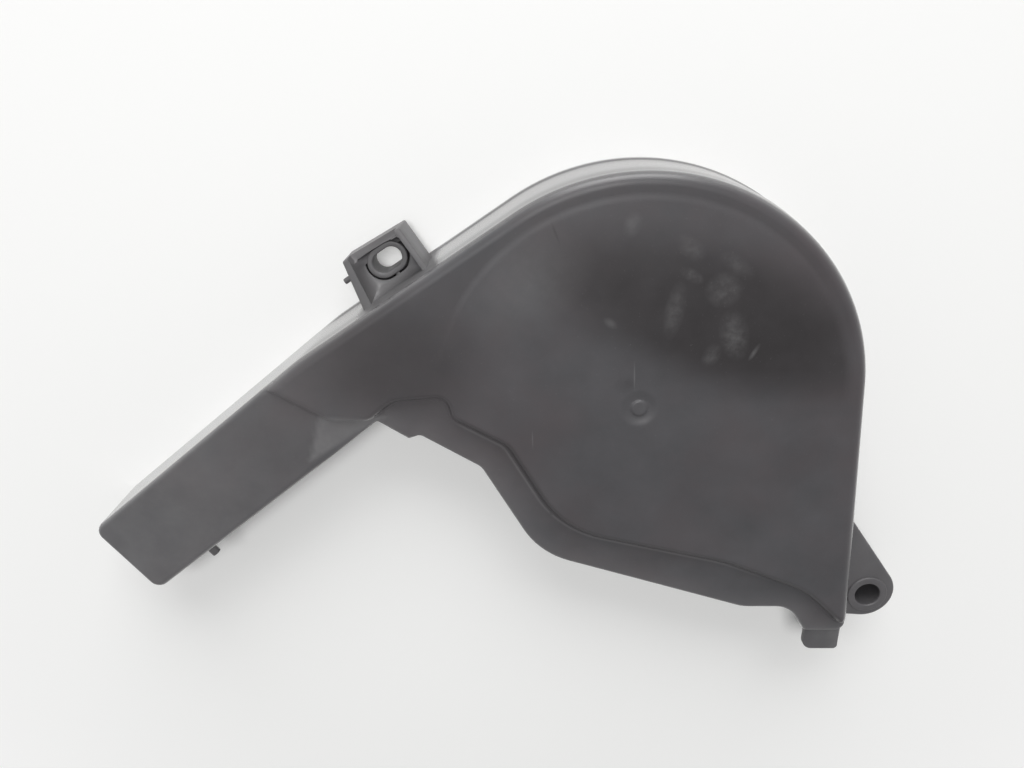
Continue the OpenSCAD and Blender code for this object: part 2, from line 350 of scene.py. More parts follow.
def buildShell():
    s = shell
    print("shell: outer face")
    loose = np.concatenate([
        rows(coverSides(), edgeInsets, coverOutline, coverOutline, s["edgeMargin"]),
        rows(stepSides(), stepInsets, stepOutline, coverOutline, s["stepMargin"]),
    ])
    discs = np.concatenate([circle((0.0, 0.0), r, s["pointGap"]) for r in discRings])
    clear = inside(discs, stepOutline) > s["stepClear"]
    discs = discs[clear & (inside(discs, coverOutline) > s["edgeClear"])]
    gates = np.concatenate([circle(s["gateAt"], r, max(s["gateGap"], r * s["gateShare"])) for r in gateRings])
    grid = gridInside(coverOutline, s["gridClear"], s["gridGap"])
    near = gridInside(coverOutline, s["gridClear"], s["facetGap"])
    near = near[np.linalg.norm(near - np.array(facet["at"]), axis=1) < s["facetReach"]]
    grid = np.concatenate([grid, near])
    away = np.linalg.norm(grid, axis=1)
    dStep = inside(grid, stepOutline)
    offDisc = (away < s["gridDisc"][0]) | (away > s["gridDisc"][1])
    offStep = (dStep < s["gridStep"][0]) | (dStep > s["gridStep"][1])
    grid = grid[offDisc & offStep & (away > s["gateClear"])]
    facetLine = np.array([s["facetFrom"] * unit(s["facetDir"]) + k * unit(s["facetDir"] + 90.0)
                          for k in np.arange(-s["lineReach"], s["lineReach"], s["lineGap"])])
    onLow = inside(facetLine, stepOutline) < s["lineStep"]
    facetLine = facetLine[(inside(facetLine, coverOutline) > s["edgeClear"]) & onLow]
    loose = thinned(np.concatenate([loose, gates, discs, facetLine, grid]), s["thinGap"])
    flat, topFaces, topBorder = skin(coverOutline, loose)
    verts = [(x, y, z) for (x, y), z in zip(flat, outerHeight(flat))]
    faces = [tuple(f) for f in topFaces]

    print("shell: walls and ceiling")
    loose = rows(stepSides(), ceilingInsets, stepOutline, innerOutline, s["stepMargin"])
    grid = gridInside(innerOutline, s["ceilingClear"], s["ceilingGap"])
    dStep = inside(grid, stepOutline)
    offStep = (dStep < s["ceilingStep"][0]) | (dStep > s["ceilingStep"][1])
    loose = thinned(np.concatenate([loose, grid[offStep]]), s["ceilingThin"])
    flatIn, ceilingFaces, ceilingBorder = skin(innerOutline, loose)
    shift = len(verts)
    verts += [(x, y, z) for (x, y), z in zip(flatIn, ceilingHeight(flatIn))]
    faces += [tuple(i + shift for i in reversed(f)) for f in ceilingFaces]

    count = len(coverOutline)
    low = coverOutline[:, 1] < 0.0
    opened = low & (coverOutline[:, 0] > s["beltLeft"]) & (coverOutline[:, 0] < s["beltRight"])
    outer = [list(topBorder)]
    for z, out in wallLevels:
        level = ring(coverSides(out))
        outer.append([None if z < s["beltTop"] and opened[i] else len(verts) + i for i in range(count)])
        verts += [(x, y, z) for x, y in level]
    inner = [[i + shift for i in ceilingBorder]]
    for z in innerLevels:
        inner.append([None if z < s["beltTop"] and opened[i] else len(verts) + i for i in range(count)])
        verts += [(x, y, z) for x, y in innerOutline]

    def add(*loop):
        clean = [v for k, v in enumerate(loop) if v != loop[k - 1]]
        if None not in clean and len(clean) > 2:
            faces.append(tuple(clean))

    outerBelt = 1 + [z for z, _ in wallLevels].index(s["beltTop"])
    innerBelt = 1 + innerLevels.index(s["beltTop"])
    for i in range(count):
        j = (i + 1) % count
        for table, way in ((outer, 1), (inner, -1)):
            for upper, lower in zip(table, table[1:]):
                add(*(upper[i], lower[i], lower[j], upper[j])[::way])
        add(outer[-1][i], inner[-1][i], inner[-1][j], outer[-1][j])
        if opened[i] or opened[j]:
            add(outer[outerBelt][i], inner[innerBelt][i], inner[innerBelt][j], outer[outerBelt][j])
        if opened[i] != opened[j]:
            k = j if opened[i] else i
            end = [row[k] for row in outer[outerBelt:]] + [row[k] for row in reversed(inner[innerBelt:])]
            add(*end)
    return meshOf("shell", verts, faces)


def meshOf(name, verts, faces):
    mesh = bpy.data.meshes.new(name)
    mesh.from_pydata(verts, [], faces)
    bm = bmesh.new()
    bm.from_mesh(mesh)
    bmesh.ops.remove_doubles(bm, verts=bm.verts, dist=weldGap)
    bmesh.ops.dissolve_degenerate(bm, edges=bm.edges, dist=sliverGap)
    loose = [v for v in bm.verts if not v.link_faces]
    bmesh.ops.delete(bm, geom=loose, context="VERTS")
    bmesh.ops.recalc_face_normals(bm, faces=bm.faces)
    if bm.calc_volume(signed=True) < 0.0:
        bmesh.ops.reverse_faces(bm, faces=bm.faces)
    openEdges = sum(1 for e in bm.edges if len(e.link_faces) != 2)
    bm.to_mesh(mesh)
    bm.free()
    print(name, len(mesh.polygons), "faces,", openEdges, "open edges")
    return objectOf(name, mesh)


def objectOf(name, mesh):
    piece = bpy.data.objects.new(name, mesh)
    scene.collection.objects.link(piece)
    return piece


# Plate of an outline, its rims rounded
def plate(name, outline, low, high, rim=0.0, sides=False):
    bm = bmesh.new()
    face = bm.faces.new([bm.verts.new((x, y, low)) for x, y in outline])
    top = bmesh.ops.extrude_face_region(bm, geom=[face])["geom"]
    for v in top:
        if isinstance(v, bmesh.types.BMVert):
            v.co.z = high
    bmesh.ops.recalc_face_normals(bm, faces=bm.faces)
    if rim:
        edges = [e for e in bm.edges if sides or abs(e.verts[0].co.z - e.verts[1].co.z) < 1e-6]
        rounded(bm, edges, rim)
    return meshFrom(name, bm)


def rounded(bm, edges, rim):
    bmesh.ops.bevel(bm, geom=edges, offset=rim, segments=3, profile=0.5, affect="EDGES", clamp_overlap=True)


def meshFrom(name, bm):
    mesh = bpy.data.meshes.new(name)
    bmesh.ops.recalc_face_normals(bm, faces=bm.faces)
    bm.to_mesh(mesh)
    bm.free()
    return objectOf(name, mesh)


# Round peg from a point along a direction, its free end rounded
def peg(name, start, along, radius, length, rim):
    bm = bmesh.new()
    turned = Vector(along).to_track_quat("Z", "Y").to_matrix().to_4x4()
    middle = Matrix.Translation(Vector(start)) @ turned @ Matrix.Translation((0.0, 0.0, length / 2.0))
    size = {"radius1": radius, "radius2": radius, "depth": length}
    bmesh.ops.create_cone(bm, cap_ends=True, segments=32, matrix=middle, **size)
    far = Vector(start) + Vector(along).normalized() * length
    edges = [e for e in bm.edges if all((v.co - far).length < radius * 1.01 for v in e.verts)]
    rounded(bm, edges, rim)
    return meshFrom(name, bm)


def evaluatedMesh(piece):
    return bpy.data.meshes.new_from_object(piece.evaluated_get(bpy.context.evaluated_depsgraph_get()))


def joined(base, tool, operation):
    step = base.modifiers.new("join", "BOOLEAN")
    step.operation = operation
    step.solver = "MANIFOLD"
    step.object = tool
    result = evaluatedMesh(base)
    base.modifiers.remove(step)
    old = base.data
    base.data = result
    bpy.data.meshes.remove(old)
    bpy.data.objects.remove(tool)
    return base


# Collar that follows a slot: a rounded wall swept along the slot's outline
def collarTree():
    tree = bpy.data.node_groups.new("slotCollar", "GeometryNodeTree")
    face = tree.interface
    face.new_socket(name="Geometry", in_out="INPUT", socket_type="NodeSocketGeometry")
    names = ("Slot Length", "Slot Width", "Wall", "Height", "Rim")
    kinds = {n: "NodeSocketFloat" for n in names}
    kinds["Material"] = "NodeSocketMaterial"
    ids = {n: face.new_socket(name=n, in_out="INPUT", socket_type=k).identifier for n, k in kinds.items()}
    face.new_socket(name="Geometry", in_out="OUTPUT", socket_type="NodeSocketGeometry")
    node, link = tree.nodes.new, tree.links.new
    start, end = node("NodeGroupInput"), node("NodeGroupOutput")

    def total(a, b):
        add = node("ShaderNodeMath")
        link(a, add.inputs[0])
        link(b, add.inputs[1])
        return add.outputs[0]

    def roundedBox(width, height, radius, count):
        box = node("GeometryNodeCurvePrimitiveQuadrilateral")
        link(width, box.inputs["Width"])
        link(height, box.inputs["Height"])
        fillet = node("GeometryNodeFilletCurve")
        fillet.mode = "POLY"
        fillet.inputs["Count"].default_value = count
        fillet.inputs["Limit Radius"].default_value = True
        link(box.outputs[0], fillet.inputs["Curve"])
        link(radius, fillet.inputs["Radius"])
        return fillet.outputs[0]

    length = total(start.outputs["Slot Length"], start.outputs["Wall"])
    width = total(start.outputs["Slot Width"], start.outputs["Wall"])
    half = node("ShaderNodeMath")
    half.operation = "MULTIPLY"
    half.inputs[1].default_value = 0.4999   # a hair under half, so that the fillets stay apart
    link(width, half.inputs[0])
    upright = node("GeometryNodeSetCurveNormal")
    upright.mode = "Z_UP"
    link(roundedBox(length, width, half.outputs[0], 14), upright.inputs["Curve"])
    sweep = node("GeometryNodeCurveToMesh")
    link(upright.outputs[0], sweep.inputs["Curve"])
    section = roundedBox(start.outputs["Wall"], start.outputs["Height"], start.outputs["Rim"], 4)
    link(section, sweep.inputs["Profile Curve"])
    painted = node("GeometryNodeSetMaterial")
    realize = node("GeometryNodeRealizeInstances")
    link(sweep.outputs[0], realize.inputs[0])
    link(realize.outputs[0], painted.inputs["Geometry"])
    link(start.outputs["Material"], painted.inputs["Material"])
    link(painted.outputs[0], end.inputs[0])
    return tree, ids


def collar(name, tools, sizes, place):
    tree, ids = tools
    piece = objectOf(name, bpy.data.meshes.new(name))
    step = piece.modifiers.new("collar", "NODES")
    step.node_group = tree
    for key, value in sizes.items():
        step[ids[key]] = value
    step[ids["Material"]] = plastic
    mesh = evaluatedMesh(piece)
    piece.modifiers.remove(step)
    piece.data = mesh
    mesh.transform(place)
    bm = bmesh.new()
    bm.from_mesh(mesh)
    bmesh.ops.remove_doubles(bm, verts=bm.verts, dist=sliverGap)
    bmesh.ops.recalc_face_normals(bm, faces=bm.faces)
    bm.to_mesh(mesh)
    bm.free()
    return piece


lowerEar = {
    "boltAt": (89.0, -79.5), "boltRadius": 4.5, "radius": 10.4, "height": 20.0, "thickness": 5.0,
    "tubeRadius": 7.2, "tubeRise": 0.6, "tubeRim": 0.5, "slope": 36.1, "foot": 266.0, "footIn": 0.9,
    "rim": 0.8, "corner": 1.0, "pointGap": 1.2, "cutPast": 2.0,
}


def buildEar(tools):
    e = lowerEar
    at = np.array(e["boltAt"])
    sides = [
        (e["slope"], at @ unit(e["slope"]) + e["radius"], e["corner"]),
        (shell["rightDir"] + 180.0, shell["wall"] / 2.0 - shell["roundRadius"], e["corner"]),
        (e["foot"], at @ unit(e["foot"]) + e["radius"] - e["footIn"], e["radius"]),
    ]
    ear = plate("ear", ring(sides, 0.0, e["pointGap"]), e["height"] - e["thickness"], e["height"], e["rim"])
    past = e["cutPast"]
    hole = peg("boltHole", (at[0], at[1], -past), (0, 0, 1), e["boltRadius"], e["height"] + 3.0 * past, 0.0)
    ear = joined(ear, hole, "DIFFERENCE")
    tall = e["height"] + e["tubeRise"]
    wall = e["tubeRadius"] - e["boltRadius"]
    sizes = {"Slot Length": 2.0 * e["boltRadius"], "Slot Width": 2.0 * e["boltRadius"], "Wall": wall,
             "Height": tall, "Rim": e["tubeRim"]}
    tube = collar("boltTube", tools, sizes, Matrix.Translation((at[0], at[1], tall / 2.0)))
    return joined(ear, tube, "UNION")


upperLug = {
    "along": -42.3, "half": 10.5, "out": 16.5, "skew": 1.4, "flare": 4.5, "floor": 10.0, "thickness": 3.0,
    "wallHeight": 12.0, "wall": 1.8, "endDrop": 5.0, "slotLength": 10.0, "slotWidth": 6.6, "ringWall": 1.8,
    "ringRise": 6.0, "ringGap": 0.3, "ribHalf": 0.8, "ribDrop": 1.0, "pegRadius": 0.95, "pegLength": 5.0,
    "pegHeight": 16.0, "pegFromEdge": 6.0, "pegSunk": 0.8, "pegRim": 0.25, "rim": 0.5, "ringRim": 0.45,
    "ringSunk": 1.0, "ribInto": 0.4, "ribSunk": 0.5, "ribRim": 0.35, "notchHalf": 3.0, "cutPast": 2.0,
    "cutAbove": 5.0, "groove": 0.7, "bowlLow": 15.2, "bowlHigh": 21.0, "bowlLeast": 0.05, "bowlTurns": 72,
    "bowlSteps": 8, "slotTurns": 56, "slotStart": 0.02,
    "snugFrom": 0.35, "snugIn": 0.2,      # towards the end wall the pocket closes on the ring
}


def slotOutline(at, grow):
    u = upperLug
    run = (u["slotLength"] - u["slotWidth"]) / 2.0
    r = u["slotWidth"] / 2.0 + grow
    angles = np.linspace(u["slotStart"], 2.0 * math.pi + u["slotStart"], u["slotTurns"], False)
    return [(at[0] + math.copysign(run, math.cos(a)) + r * math.cos(a), at[1] + r * math.sin(a))
            for a in angles]


# Distance from a point to an outline round it, in a direction
def reach(outline, at, angle):
    way = np.array([math.cos(angle), math.sin(angle)])
    best = 1e9
    for k in range(len(outline)):
        a, b = np.array(outline[k - 1]) - at, np.array(outline[k]) - at
        side = b - a
        cross = way[0] * side[1] - way[1] * side[0]
        if abs(cross) > 1e-9:
            t = (a[0] * side[1] - a[1] * side[0]) / cross
            share = (a[0] * way[1] - a[1] * way[0]) / cross
            if t > 0.0 and -1e-6 <= share <= 1.0 + 1e-6:
                best = min(best, t)
    return best


# Cut of the pocket: a narrow groove round the slot's ring that opens in a hollow curve to the lug's walls
def bowl(pocket, at, high):
    u = upperLug
    groove = slotOutline(at, u["ringWall"] + u["groove"])
    snug = slotOutline(at, u["ringWall"] - u["snugIn"])
    angles = np.linspace(0.0, 2.0 * math.pi, u["bowlTurns"], False)
    middle = np.array(at)
    small = np.array([reach(snug if math.sin(a) > u["snugFrom"] else groove, middle, a) for a in angles])
    large = np.array([reach(pocket, middle, a) for a in angles])
    large = np.maximum(large, small + u["bowlLeast"])
    levels = [(u["floor"], 0.0), (u["bowlLow"], 0.0)]
    levels += [(u["bowlLow"] + (u["bowlHigh"] - u["bowlLow"]) * (1.0 - math.cos(f)), math.sin(f))
               for f in np.linspace(0.0, math.pi / 2.0, u["bowlSteps"] + 1)[1:]]
    levels.append((high + u["cutAbove"], 1.0))
    verts, faces = [], []
    for z, share in levels:
        r = small + (large - small) * share
        verts += [(at[0] + d * math.cos(a), at[1] + d * math.sin(a), z) for a, d in zip(angles, r)]
    n = len(angles)
    for k in range(len(levels) - 1):
        low, up = k * n, (k + 1) * n
        faces += [(low + i, low + (i + 1) % n, up + (i + 1) % n, up + i) for i in range(n)]
    faces += [tuple(reversed(range(n))), tuple(range((len(levels) - 1) * n, len(levels) * n))]
    return meshOf("bowl", verts, faces)


def rectangle(left, right, near, far):
    return [(left, near), (right, near), (right, far), (left, far)]


def buildLug(tools):
    u = upperLug
    r, half = shell["roundRadius"], u["half"]
    base, out = r - shell["wall"] / 2.0, r + u["out"]
    low, high = u["floor"] - u["thickness"], u["floor"] + u["wallHeight"]
    outerForm = [(-half - u["flare"], base), (half, base), (half, out - u["skew"]), (-half, out)]
    pocket = [
        (-half - u["flare"] + 2.0 * u["wall"], r), (half - u["wall"], r),
        (half - u["wall"], out - u["skew"] - u["wall"]), (-half + u["wall"], out - u["wall"]),
    ]
    slotOut = out - u["wall"] - u["slotWidth"] / 2.0 - u["ringWall"] - u["ringGap"] - u["skew"] / 2.0
    lug = plate("lug", outerForm, low, high, u["rim"], True)
    lug = joined(lug, bowl(pocket, (0.0, slotOut), high), "DIFFERENCE")
    notch = rectangle(-half + u["wall"], half - u["wall"], out - u["notchHalf"], out + u["notchHalf"])
    notch = plate("notch", notch, high - u["endDrop"], high + u["cutAbove"], u["rim"], True)
    lug = joined(lug, notch, "DIFFERENCE")
    slot = slotOutline((0.0, slotOut), 0.0)
    hole = plate("slotHole", slot, low - u["cutPast"], u["floor"] + u["cutPast"])
    lug = joined(lug, hole, "DIFFERENCE")
    tall = u["ringRise"] + u["ringSunk"]
    sizes = {"Slot Length": u["slotLength"], "Slot Width": u["slotWidth"], "Wall": u["ringWall"],
             "Height": tall, "Rim": u["ringRim"]}
    place = Matrix.Translation((0.0, slotOut, u["floor"] + u["ringRise"] - tall / 2.0))
    slotRing = collar("slotRing", tools, sizes, place)
    rib = rectangle(-u["ribHalf"], u["ribHalf"], base, slotOut - u["slotWidth"] / 2.0 - u["ribInto"])
    ribTop = u["floor"] + u["ringRise"] - u["ribDrop"]
    rib = plate("rib", rib, u["floor"] - u["ribSunk"], ribTop, u["ribRim"], True)
    slotRing = joined(slotRing, rib, "UNION")
    lug = joined(lug, slotRing, "UNION")
    start = (-half + u["pegSunk"], out - u["pegFromEdge"], u["pegHeight"])
    pin = peg("lugPeg", start, (-1, 0, 0), u["pegRadius"], u["pegLength"] + u["pegSunk"], u["pegRim"])
    lug = joined(lug, pin, "UNION")
    turned = Matrix.Rotation(math.radians(shell["topDir"] - 90.0), 4, "Z")
    lug.data.transform(turned @ Matrix.Translation((u["along"], 0, 0)))
    return lug


stripTab = {
    "right": 79.3, "width": 13.0, "length": 10.0, "drop": 2.5, "corner": 1.5, "foot": 3.5, "rim": 0.45,
    "pointGap": 0.8,
}


def buildTab():
    t = stripTab
    top = shell["depth"] - shell["stripDrop"] - t["drop"]
    sides = [
        (0.0, t["right"], t["corner"]), (90.0, shell["wall"] - shell["stripLow"], t["corner"]),
        (180.0, t["width"] - t["right"], t["foot"]), (270.0, shell["stripLow"] + t["length"], t["corner"]),
    ]
    return plate("tab", ring(sides, 0.0, t["pointGap"]), top - shell["wall"], top, t["rim"])


armPeg = {"radius": 1.6, "length": 4.0, "fromEnd": 24.0, "drop": 8.0, "rim": 0.4, "armWidth": 34.6}


def buildArmPeg():
    p = armPeg
    out = p["armWidth"] - shell["armTop"]
    at = unit(shell["armEndDir"]) * (shell["armReach"] - p["fromEnd"])
    at = at + unit(shell["armLowDir"]) * (out - shell["wall"] / 2.0)
    start = (at[0], at[1], shell["depth"] - p["drop"])
    along = tuple(unit(shell["armLowDir"])) + (0.0,)
    return peg("armPeg", start, along, p["radius"], p["length"] + shell["wall"] / 2.0, p["rim"])


# Charcoal moulded plastic: a cloud is a noise's scale, detail and roughness, the range read and what it gives
plasticLook = {
    "dark": (0.050, 0.049, 0.053),
    "light": (0.066, 0.064, 0.069),
    "shade": (0.012, 0.0095, 0.0105),
    "warm": (0.066, 0.053, 0.056),
    # Pale colour of dust, also used for painted light and painted highlights
    "dustAndPaintedLight": (0.205, 0.203, 0.205),
    "wear": (0.17, 0.17, 0.172),
    "toneCloud": (38.0, 6.0, 0.62, 0.35, 0.68, 0.0, 1.0),
    "warmCloud": (22.0, 5.0, 0.6, 0.42, 0.64, 0.0, 0.5),
    "shadeCloud": (30.0, 4.0, 0.6, 0.3, 0.6, 0.75, 1.0),
    "paleCloud": (70.0, 5.0, 0.65, 0.32, 0.66, 0.72, 1.15),
    "speckCloud": (1100.0, 3.0, 0.7, 0.64, 0.8, 0.0, 0.2),
    "wearCloud": (260.0, 5.0, 0.7, 0.35, 0.65, 0.25, 0.6),
    "roughCloud": (55.0, 5.0, 0.6, 0.3, 0.7, 0.40, 0.54),
    "breakCloud": (300.0, 4.0, 0.6, 0.40, 0.64, 0.0, 1.0),
    "wallRough": 0.26,
    "wallGloss": 1.62,
    "wallNormal": (0.93, 0.55),      # upward share of the normal where a wall's gloss starts and is full
    "markLevel": (0.0278, 0.0283),   # heights in metres between which the marks come in
    "markHeight": 0.03,
    "markDepth": 0.02,
    "markCore": 0.25,
    "grain": (2600.0, 3.0, 0.6),
    "grainDepth": 0.00003,
    "grainStrength": 0.35,
}

# Marks on the face in millimetres about the sprocket axis: middle, half lengths, turn, strength, and break-up
faceMarks = [
    # Paler hazy patch: partly dust, partly a painted sheen
    ((-33.0, 43.0), (18.0, 16.0), 20.0, 0.13, 0.25),      # hazy patch
    ((-41.0, 32.0), (18.0, 18.0), 0.0, 0.08, 0.2),
    ((-5.2, 57.5), (3.0, 4.4), -12.0, 0.18, 0.45),        # smudge near the upper edge
    ((-10.6, 27.0), (2.6, 1.6), -35.0, 0.20, 0.2),        # spot
    ((12.5, 50.5), (6.0, 3.4), -40.0, 0.16, 0.7),         # patchy residue
    ((13.5, 42.0), (4.4, 2.2), -30.0, 0.22, 0.7),
    ((9.0, 31.0), (3.4, 10.0), -8.0, 0.20, 0.6),
    ((23.5, 37.5), (6.2, 6.0), 30.0, 0.24, 0.65),
    ((28.0, 23.0), (5.0, 9.0), 14.0, 0.26, 0.7),
    ((21.5, 16.5), (3.0, 4.6), -24.0, 0.20, 0.75),
    ((27.0, 45.0), (7.0, 3.0), -35.0, 0.14, 0.7),
    ((34.8, 17.6), (0.9, 3.4), -28.0, 0.30, 0.4),
    ((-2.2, 9.6), (0.35, 5.6), 3.0, 0.30, 0.2),           # scratch above the gate mark
    ((-34.2, -12.7), (0.28, 4.0), 2.0, 0.26, 0.3),        # scratch near the step
    ((0.0, -1.6), (7.6, 7.6), 0.0, 0.05, 0.3),            # pale ring round the gate mark
]
darkMarks = [
    ((-5.0, 6.5), (4.0, 3.2), 20.0, 0.5, 0.7),            # smudge beside the scratch
    ((-27.9, 54.7), (0.5, 4.2), 22.0, 0.4, 0.3),
    ((-106.0, -18.0), (2.6, 2.0), 0.0, 0.45, 0.4),        # spot on the arm
]


def buildPlastic():
    look = plasticLook
    material = bpy.data.materials.new("charcoalPlastic")
    material.use_nodes = True
    tree = material.node_tree
    node, link = tree.nodes.new, tree.links.new
    shader = tree.nodes["Principled BSDF"]
    where = node("ShaderNodeTexCoord").outputs["Object"]

    def noise(scale, detail, rough):
        n = node("ShaderNodeTexNoise")
        n.inputs["Scale"].default_value = scale
        n.inputs["Detail"].default_value = detail
        n.inputs["Roughness"].default_value = rough
        link(where, n.inputs["Vector"])
        return n.outputs["Fac"]

    def span(value, low, high, a, b):
        n = node("ShaderNodeMapRange")
        for i, v in enumerate((low, high, a, b)):
            n.inputs[i + 1].default_value = v
        link(value, n.inputs[0])
        return n.outputs[0]

    def cloud(key):
        return span(noise(*look[key][:3]), *look[key][3:])

    def math2(operation, a, b):
        n = node("ShaderNodeMath")
        n.operation = operation
        for i, v in enumerate((a, b)):
            if isinstance(v, float):
                n.inputs[i].default_value = v
            else:
                link(v, n.inputs[i])
        return n.outputs[0]

    def mix(share, a, b):
        n = node("ShaderNodeMix")
        n.data_type = "RGBA"
        link(share, n.inputs["Factor"])
        for key, value in ((6, a), (7, b)):
            if isinstance(value, tuple):
                n.inputs[key].default_value = value + (1.0,)
            else:
                link(value, n.inputs[key])
        return n.outputs[2]

    def attribute(name):
        n = node("ShaderNodeAttribute")
        n.attribute_name = name
        return n.outputs["Fac"]

    split = node("ShaderNodeSeparateXYZ")
    link(where, split.inputs[0])
    onFace = span(split.outputs["Z"], *look["markLevel"], 0.0, 1.0)
    broken = cloud("breakCloud")

    # Soft ellipse on the face, broken up by flecks
    def mark(middle, size, turned, strength, breakUp):
        m = node("ShaderNodeMapping")
        m.vector_type = "TEXTURE"
        x, y = middle[0] + shell["axis"][0], middle[1] + shell["axis"][1]
        m.inputs["Location"].default_value = (x * mm, y * mm, look["markHeight"])
        m.inputs["Rotation"].default_value = (0.0, 0.0, math.radians(turned))
        m.inputs["Scale"].default_value = (size[0] * mm, size[1] * mm, look["markDepth"])
        link(where, m.inputs["Vector"])
        length = node("ShaderNodeVectorMath")
        length.operation = "LENGTH"
        link(m.outputs[0], length.inputs[0])
        spot = span(length.outputs["Value"], 1.0, look["markCore"], 0.0, strength)
        gaps = math2("ADD", math2("MULTIPLY", broken, breakUp), 1.0 - breakUp)
        return math2("MULTIPLY", spot, gaps)

    def allMarks(marks):
        total = mark(*marks[0])
        for one in marks[1:]:
            total = math2("ADD", total, mark(*one))
        return math2("MULTIPLY", total, onFace)

    colour = mix(cloud("toneCloud"), look["dark"], look["light"])
    colour = mix(cloud("warmCloud"), colour, look["warm"])
    # Darkening: painted shade at the step's foot, a painted darker reflection on the disc, and darker patches
    # at the arm's root and outside the disc
    shade = math2("MULTIPLY", attribute("darkening"), cloud("shadeCloud"))
    colour = mix(math2("ADD", shade, allMarks(darkMarks)), colour, look["shade"])
    # Paler haze: partly dust, partly painted light, and a painted highlight at the step's foot
    colour = mix(math2("MULTIPLY", attribute("hazeAndPaintedLight"), cloud("paleCloud")), colour, look["dustAndPaintedLight"])
    colour = mix(allMarks(faceMarks), colour, look["dustAndPaintedLight"])
    colour = mix(cloud("speckCloud"), colour, look["dustAndPaintedLight"])
    worn = math2("MULTIPLY", attribute("edgeWear"), cloud("wearCloud"))
    colour = mix(worn, colour, look["wear"])
    link(colour, shader.inputs["Base Color"])

    # The side walls were drawn from the mould and are smoother than the grained face
    facing = node("ShaderNodeSeparateXYZ")
    link(node("ShaderNodeNewGeometry").outputs["Normal"], facing.inputs[0])
    upright = span(math2("ABSOLUTE", facing.outputs["Z"], 0.0), *look["wallNormal"], 0.0, 1.0)
    upright = math2("MULTIPLY", upright, attribute("wallGloss"))
    rough = cloud("roughCloud")
    drop = math2("MULTIPLY", upright, math2("SUBTRACT", rough, look["wallRough"]))
    link(math2("SUBTRACT", rough, drop), shader.inputs["Roughness"])
    link(upright, shader.inputs["Coat Weight"])
    shader.inputs["Coat Roughness"].default_value = look["wallRough"]
    shader.inputs["Coat IOR"].default_value = look["wallGloss"]
    bump = node("ShaderNodeBump")
    bump.inputs["Strength"].default_value = look["grainStrength"]
    bump.inputs["Distance"].default_value = look["grainDepth"]
    link(noise(*look["grain"]), bump.inputs["Height"])
    link(bump.outputs["Normal"], shader.inputs["Normal"])
    return material


# Attributes of the finish and of painted light in millimetres: wear of edges, paler haze that is partly dust
# and partly painted light, darkening that is partly painted shade, and gloss of walls.
# A run is where a change starts and how far it goes, and a band is its middle and half width.
finishAndPaintedLight = {
    "faceRun": (24.0, 2.0),
    "wear": 0.6, "wearBand": (0.6, 0.8),
    "armHazeAndSheen": 0.34, "armRun": (-55.0, -120.0),
    "stripPaintedLight": 0.18, "stripRun": (-0.6, -0.8), "stripEnd": (-90.0, 8.0), "stripWide": 9.0,
    "tabLighter": 0.16, "tabRun": (-88.0, -3.0),
    "facetPaintedLight": 0.42, "facetLap": 0.35,
    "earHaze": 0.20, "earRun": (74.0, 4.0),
    "lugPaintedLight": 0.42, "lugRun": (15.5, -2.5), "lugShift": 1.5, "lugLap": 0.2,
    # Darker patch over the disc: partly the plastic's brownish tone, partly a painted darker reflection
    "darkest": 1.0, "darkAt": (22.0, 29.0), "darkSize": (52.0, 20.0), "darkTurn": -18.0,
    "darkRun": (1.4, -0.85), "darkEdge": (3.0, 6.0),
    "rootDark": 0.7, "rootAt": (-78.0, 14.0), "rootSize": (34.0, 24.0), "rootRun": (1.2, -1.0),
    "ringDark": 0.25, "ringSoft": 0.6, "ringEdge": (2.2, 2.5), "ringUp": (5.0, 25.0),
    # Painted shade in the step's hollow foot and a painted highlight on the foot's light line, both past the
    # arm
    "stepShade": 0.7, "stepShadeBand": (0.4, 2.2), "stepPaintEnd": (-62.0, 6.0), "stepPaintClear": 0.5,
    "dustAndPaintedLight": 0.3, "footHighlightBand": (-1.5, 0.6), "footHighlightLeft": (-64.0, 8.0), "footHighlightRight": (56.0, -26.0),
    "glossOut": (-1.7, 0.4), "glossIn": (5.0, -1.0),
    "insideFrom": 1.5, "insideLap": 0.6,
    "weld": 0.003, "smoothAngle": 32.0,
}


def ramp(values, start, run):
    return smooth((values - start) / run)


def band(values, middle, half):
    return smooth(1.0 - np.abs(values - middle) / half)


# Distance from the middle of a turned ellipse, 1 on its edge
def fromEllipse(flat, at, size, turned=0.0):
    way = unit(turned)
    along = (flat - np.array(at)) @ way
    across = (flat - np.array(at)) @ np.array([-way[1], way[0]])
    return np.hypot(along / size[0], across / size[1])


